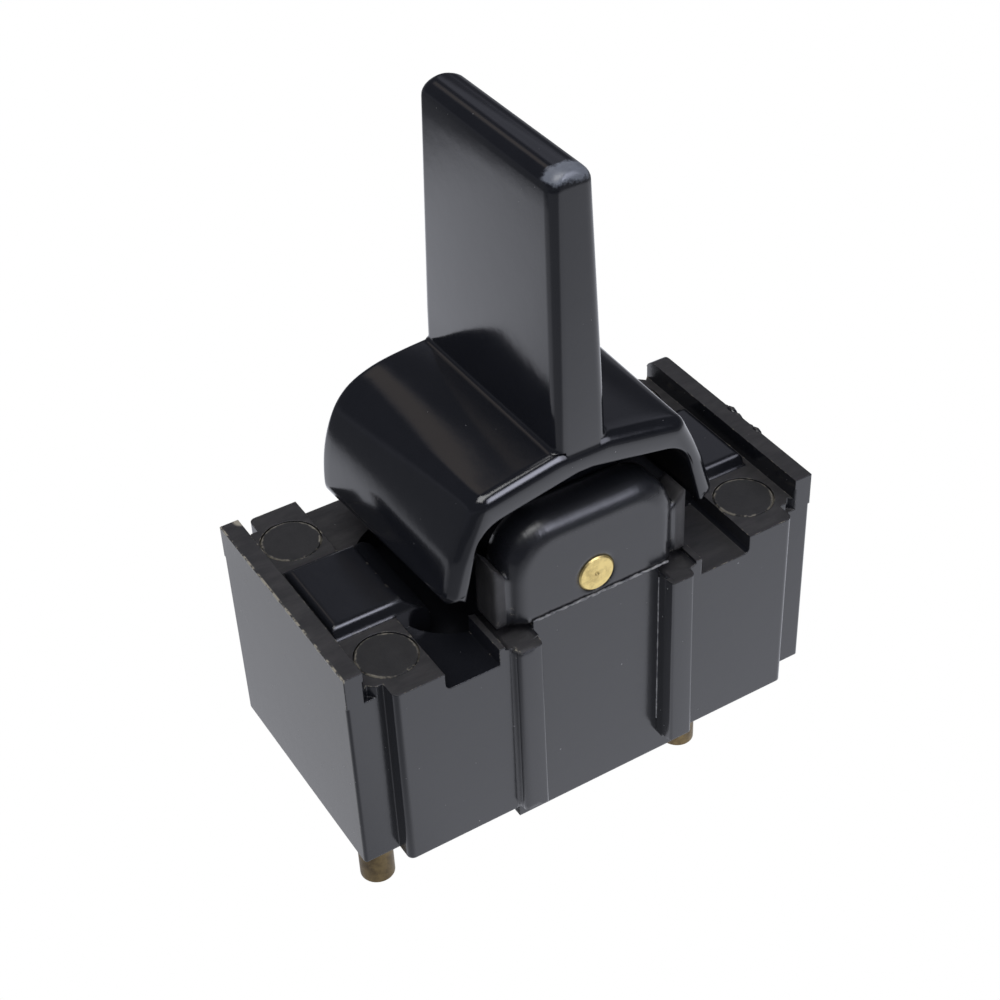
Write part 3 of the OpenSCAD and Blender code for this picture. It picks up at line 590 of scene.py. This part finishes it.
def paddle(mesh, fillet_steps=6, side_steps=12, dome_steps=8):
    root, top = PIVOT + ROOT_HEIGHT + BLEND_HEIGHT, PIVOT + TOP_HEIGHT - DOME
    rings = []
    for k in range(fillet_steps + 1):
        angle = math.radians(90 * (1 - k / fillet_steps))
        spread, lift = FILLET * (1 - math.cos(angle)), FILLET * (1 - math.sin(angle))
        sunk = 1.3 * (1 - k / fillet_steps)
        ring = []
        for spot, out in box_ring(ROOT_HALF_X, ROOT_HALF_Y, PADDLE_CORNER):
            x, y = spot.x + spread * out.x * abs(out.x), spot.y
            rise = lift if abs(out.x) > 0.05 else lift - sunk
            ring.append(mesh.verts.new(point(x, y, PIVOT + saddle_height(x, y) + rise - 0.04)))
        rings.append(ring)
    for k in range(1, side_steps):
        share = k / side_steps
        half_x = ROOT_HALF_X + (TOP_HALF_X - ROOT_HALF_X) * share
        half_y = ROOT_HALF_Y + (TOP_HALF_Y - ROOT_HALF_Y) * share
        ring = box_ring(half_x, half_y, PADDLE_CORNER)
        rings.append([mesh.verts.new(point(spot.x, spot.y, root + (top - root) * share)) for spot, _ in ring])
    for k in range(dome_steps + 1):
        angle = math.radians(90 * k / dome_steps)
        inset, z = DOME_INSET * (1 - math.cos(angle)), top + DOME * math.sin(angle)
        ring = box_ring(TOP_HALF_X - inset, TOP_HALF_Y - inset / 2, min(PADDLE_CORNER, 1.65 - inset))
        rings.append([mesh.verts.new(point(spot.x, spot.y, z)) for spot, _ in ring])
    for ring, above in zip(rings, rings[1:]):
        for i, low in enumerate(ring):
            j = (i + 1) % len(ring)
            mesh.faces.new((low, ring[j], above[j], above[i]))
    mesh.faces.new(rings[-1])


HUB_HALF_X, HUB_HALF_Y, HUB_TOP, FINGER_TOP = 4.4, 7.4, 9.2, 5


def carried_hub(mesh):
    """The hub and the finger inside the arch, as the frame has them."""
    source = bmesh.new()
    source.from_mesh(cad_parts["lever"].data)
    for face in source.faces:
        spot = face.calc_center_median() / MM
        inside = abs(spot.x) < HUB_HALF_X and abs(spot.y) < HUB_HALF_Y and spot.z < PIVOT + HUB_TOP
        if inside and (abs(face.normal.z) < 0.2 or spot.z < PIVOT + FINGER_TOP):
            mesh.faces.new([mesh.verts.new(v.co) for v in face.verts])
    source.free()


def piece_from(name, material, body, slot, *makers, sharp=40):
    """A new piece from bmesh makers, shaded smooth, riding on its body."""
    mesh = bmesh.new()
    for maker in makers:
        maker(mesh)
    bmesh.ops.remove_doubles(mesh, verts=mesh.verts, dist=0.0004 * MM)
    bmesh.ops.recalc_face_normals(mesh, faces=mesh.faces)
    made = bpy.data.objects.new(name, bpy.data.meshes.new(name))
    mesh.to_mesh(made.data)
    mesh.free()
    for face in made.data.polygons:
        face.use_smooth = True
    made.data.set_sharp_from_angle(angle=math.radians(sharp))
    made.data.materials.append(material)
    bpy.context.scene.collection.objects.link(made)
    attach(made, body)
    return made


LEVER_DEEP, LEVER_PALE, WORN = (0.0065, 0.0072, 0.0095), (0.0105, 0.0112, 0.0135), (0.22, 0.24, 0.27)
WORN_Y, WORN_Z = (-6.7, -7.2), (55.0, 55.4)


def lever_black():
    shader = Shader(bpy.data.materials.new("lever_black"))
    _, _, y, z = shader.place()
    mottle = shader.noise(0.4, 5.0, 0.6)
    fine = shader.noise(9.0, 2.0, 0.6)
    soft = shader.node("Bevel", 0.2 * MM, samples=6).outputs[0]
    colour = shader.mix(LEVER_DEEP, LEVER_PALE, mottle)
    # the paddle's top front corner is rubbed pale by the finger
    ragged = shader.math("MULTIPLY_ADD", shader.noise(0.8, 4.0, 0.7), 1.6, -0.8)
    corner = shader.times(
        shader.step(shader.plus(y, ragged), *WORN_Y), shader.step(shader.plus(z, ragged), *WORN_Z)
    )
    worn = shader.times(corner, shader.level(0.35, 0.9, shader.noise(1.3, 4.0, 0.7, shift=(2, 5, 1))))
    colour = shader.mix(colour, WORN, worn)
    dust = shader.most(shader.specks(0.8, 0.06), shader.specks(1.5, 0.05, (3, 6, 1)))
    colour = shader.mix(colour, DUST, shader.times(dust, 0.7))
    rough = shader.plus(shader.level(0.09, 0.14, fine), shader.times(shader.most(worn, dust), 0.35))
    normal = shader.bump(shader.plus(shader.times(fine, 0.15), mottle), 0.012, soft)
    return shader.finish(colour, rough, normal, ior=MOULDED_IOR)


lever_finish = lever_black()
lever = piece_from("rocker_lever", lever_finish, "lever", "lever_black", saddle, paddle, carried_hub)
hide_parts("lever")


# ---------------------------------------------------------------------------------------------
# Ribs and panel: the ribs beside the sunk panel stand over it with one steep flank, the panel's
# skirt runs under the right rib, and a thread of flash is left along the parting line, coloured
# pale as a painted highlight; a pale thread down the panel's right edge is a painted highlight only.

# how far out each face stands in Y, and the heights of the ribs' feet and of the scooped grooves
PANEL_FACE, WALL_FACE, RIB_FACE = 10.62, 11.3, 12.35
FOOT, RIB_CREST = 5.5, 21.88
RIB_LEAN, RIB_FOOT_GAP = 0.2, 0.28
GROOVE_MIDDLE, GROOVE_LOW, GROOVE_RADIUS = 6.6, 21.73, 3.2
RIB_INNER, RIB_OUTER = 5.42, 7.6


def rib_top(x):
    """The rib's top, where the scooped groove cuts it."""
    groove = GROOVE_LOW + GROOVE_RADIUS - math.sqrt(GROOVE_RADIUS**2 - (x - GROOVE_MIDDLE)**2)
    return min(RIB_CREST, groove)


def rib_section():
    """X and Y round the rib, seen from above, from the panel to the wall."""
    corners = [
        (RIB_INNER, PANEL_FACE), (RIB_INNER + 0.02, WALL_FACE + 0.12), (5.6, RIB_FACE),
        (7.56, RIB_FACE), (RIB_OUTER, WALL_FACE),
    ]
    return [Vector((RIB_INNER, PANEL_FACE - 0.05))] + rounded(corners, [0.05, 0.22, 0.3])


def rib(mesh, side, end):
    """A rib on the front (end 1) or back (end -1) wall; side is the sign of x."""
    low, high = [], []
    for x, y in rib_section():
        lean = RIB_LEAN * (y - PANEL_FACE) / (RIB_FACE - PANEL_FACE)
        low.append(mesh.verts.new(point(side * x, -end * y, FOOT + RIB_FOOT_GAP)))
        high.append(mesh.verts.new(point(side * x, -end * (y - lean), rib_top(x))))
    for a, b, c, d in zip(low, low[1:], high[1:], high):
        mesh.faces.new((a, b, c, d))
    mesh.faces.new(low)
    mesh.faces.new(high)


def ribs(mesh):
    for side in (-1, 1):
        for end in (-1, 1):
            rib(mesh, side, end)


PANEL_SIDE, PANEL_TOP, SKIRT_LOW, SKIRT_LEFT, SKIRT_RIGHT = 5.43, 22.7, 3.5, 7.2, 6.95
SKIRT_THICK, PANEL_THICK = 1.0, 0.1


def panel_plate(mesh):
    """The sunk panel with its skirt, a T turned over, one on the front and one on the back."""
    skirt = [(-SKIRT_LEFT, SKIRT_LOW), (SKIRT_RIGHT, SKIRT_LOW), (SKIRT_RIGHT, FOOT), (PANEL_SIDE, FOOT)]
    panel = [(PANEL_SIDE, PANEL_TOP), (-PANEL_SIDE, PANEL_TOP), (-PANEL_SIDE, FOOT), (-SKIRT_LEFT, FOOT)]
    for end in (1, -1):
        face = [mesh.verts.new(point(end * x, -end * PANEL_FACE, z)) for x, z in skirt + panel]
        back = []
        for x, z in skirt + panel:
            thick = SKIRT_THICK if z <= FOOT else PANEL_THICK
            back.append(mesh.verts.new(point(end * x, -end * (PANEL_FACE - thick), z)))
        mesh.faces.new(face)
        for k, low in enumerate(face):
            j = (k + 1) % len(face)
            mesh.faces.new((low, face[j], back[j], back[k]))


piece_from("panel_ribs", housing.data.materials[0], "case", "moulded_black", ribs, sharp=30)
piece_from("panel_plates", housing.data.materials[0], "case", "moulded_black", panel_plate, sharp=30)


def thread(name, points, radius, material, body):
    """A thin uneven thread standing along a joint line; here it carries flash and painted highlights."""
    curve = bpy.data.curves.new(name, "CURVE")
    curve.dimensions = "3D"
    curve.bevel_depth = radius * MM
    curve.bevel_resolution = 1
    line = curve.splines.new("POLY")
    line.points.add(len(points) - 1)
    for spot, (x, y, z, thick) in zip(line.points, points):
        spot.co = (*point(x, y, z), 1)
        spot.radius = thick
    made = bpy.data.objects.new(name, curve)
    curve.materials.append(material)
    bpy.context.scene.collection.objects.link(made)
    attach(made, body)


# the pale flash colour is a painted highlight, standing in for the light caught along the parting line's
# ledge and the panel's edge
FLASH_DARK, FLASH_PAINTED_HIGHLIGHT = (0.06, 0.06, 0.065), (0.34, 0.34, 0.33)


def flash_painted_highlight():
    shader = Shader(bpy.data.materials.new("flash_edge_painted_highlight"))
    cloud = shader.noise(2.0, 4.0, 0.7)
    colour = shader.mix(FLASH_DARK, FLASH_PAINTED_HIGHLIGHT, shader.step(cloud, 0.35, 0.7))
    return shader.finish(colour, shader.level(0.3, 0.5, cloud), ior=MOULDED_IOR)


FLASH_LEFT, FLASH_LENGTH, FLASH_HEIGHT, FLASH_RADIUS, FLASH_STEPS = -5.4, 11.6, 22.72, 0.11, 60
CREASE_X, CREASE_LOW, CREASE_LENGTH, CREASE_RADIUS, CREASE_STEPS = 5.4, 7.0, 14.6, 0.075, 24
FLASH_Y = PANEL_FACE + 0.02

flash_highlight_finish = flash_painted_highlight()
chance = random.Random(7)
for end, name in ((1, "flash_front"), (-1, "flash_back")):
    seam = []
    for k in range(FLASH_STEPS + 1):
        x = FLASH_LEFT + FLASH_LENGTH * k / FLASH_STEPS
        z, thick = FLASH_HEIGHT + chance.uniform(-0.04, 0.04), chance.uniform(0.45, 1.25)
        seam.append((end * x, -end * FLASH_Y, z, thick))
    thread(name, seam, FLASH_RADIUS, flash_highlight_finish, "case")
# a painted highlight: a pale thread down the front panel's right edge, where the edge catches the light
crease = []
for k in range(CREASE_STEPS + 1):
    z = CREASE_LOW + CREASE_LENGTH * k / CREASE_STEPS
    crease.append((CREASE_X, -FLASH_Y, z, chance.uniform(0.5, 1.0)))
thread("crease_painted_highlight_front", crease, CREASE_RADIUS, flash_highlight_finish, "case")

RIM_FACE = 20.0
# where each lump sits in Y and Z, and its radius
RIM_LUMPS = (
    (0.9, 23.6, 0.42), (0.2, 23.75, 0.5), (-0.6, 23.7, 0.42),
    (-2.3, 23.7, 0.36), (-3.0, 23.75, 0.44), (-3.7, 23.6, 0.34),
)


def rim_lumps(mesh):
    """Small lumps of flash left on the outer edge of the right rim."""
    for y, z, size in RIM_LUMPS:
        lump = bmesh.ops.create_icosphere(mesh, subdivisions=2, radius=size * MM)["verts"]
        for v in lump:
            v.co.x *= 0.8
            v.co.y *= 1.5
            v.co *= 1 + 0.05 * math.sin(5 * v.co.y / MM + 3 * v.co.z / MM)
            v.co += point(RIM_FACE, y, z)


piece_from("rim_flash", housing.data.materials[0], "case", "moulded_black", rim_lumps)


# ---------------------------------------------------------------------------------------------
# Brass: the pivot pin, the terminals, their straps and the contact bars, tarnished in the open
# and brighter on the pin's turned face.

PIN_BRIGHT, PIN_DULL = (0.78, 0.62, 0.26), (0.5, 0.38, 0.15)
POST_BRIGHT, POST_DULL = (0.19, 0.14, 0.066), (0.085, 0.062, 0.035)


def brass(name, bright, dull, tarnish, roughness):
    """Brass that goes from bright to dull over the tarnish range of a cloudy noise."""
    shader = Shader(bpy.data.materials.new(name))
    cloud = shader.noise(0.9, 5.0, 0.7)
    fine = shader.noise(6.0, 4.0, 0.7)
    colour = shader.mix(bright, dull, shader.step(cloud, *tarnish))
    rough = shader.level(roughness, roughness + 0.25, fine)
    return shader.finish(colour, rough, shader.bump(fine, 0.015), metal=1.0)


pin_brass = brass("pin_brass", PIN_BRIGHT, PIN_DULL, (0.45, 0.75), 0.3)
post_brass = brass("post_brass", POST_BRIGHT, POST_DULL, (0.3, 0.75), 0.36)
dress("pivot_pin", pin_brass)
for place in ("front_outer", "front_inner", "rear_outer", "rear_inner", "common"):
    dress("terminal_" + place, post_brass)
    dress("strap_" + place, post_brass)
for side in ("front", "rear"):
    dress("bridge_" + side, pin_brass)


# ---------------------------------------------------------------------------------------------
# Springs, drive pin and screws are plain spring steel; the base plate and the carriage are
# brown fibre board, cut and drilled.

STEEL_BRIGHT, STEEL_DULL = (0.42, 0.42, 0.43), (0.3, 0.29, 0.28)
FIBRE_DEEP, FIBRE_PALE = (0.05, 0.033, 0.022), (0.11, 0.075, 0.05)


def steel_finish():
    shader = Shader(bpy.data.materials.new("spring_steel"))
    fine = shader.noise(5.0, 4.0, 0.7)
    colour = shader.mix(STEEL_BRIGHT, STEEL_DULL, shader.noise(1.2, 4.0, 0.7))
    return shader.finish(colour, shader.level(0.28, 0.5, fine), shader.bump(fine, 0.01), metal=1.0)


def fibre_finish():
    shader = Shader(bpy.data.materials.new("fibre"))
    strands = shader.noise(2.5, 5.0, 0.75, stretch=(0.3, 2.0, 1.0))
    colour = shader.mix(FIBRE_DEEP, FIBRE_PALE, strands)
    return shader.finish(colour, shader.level(0.55, 0.75, strands), shader.bump(strands, 0.03))


steel = steel_finish()
for name in ("drive_pin", "centring_spring", "base_screws", "bridge_spring_front", "bridge_spring_rear"):
    dress(name, steel)
fibre = fibre_finish()
dress("base_plate", fibre)
dress("carriage", fibre)
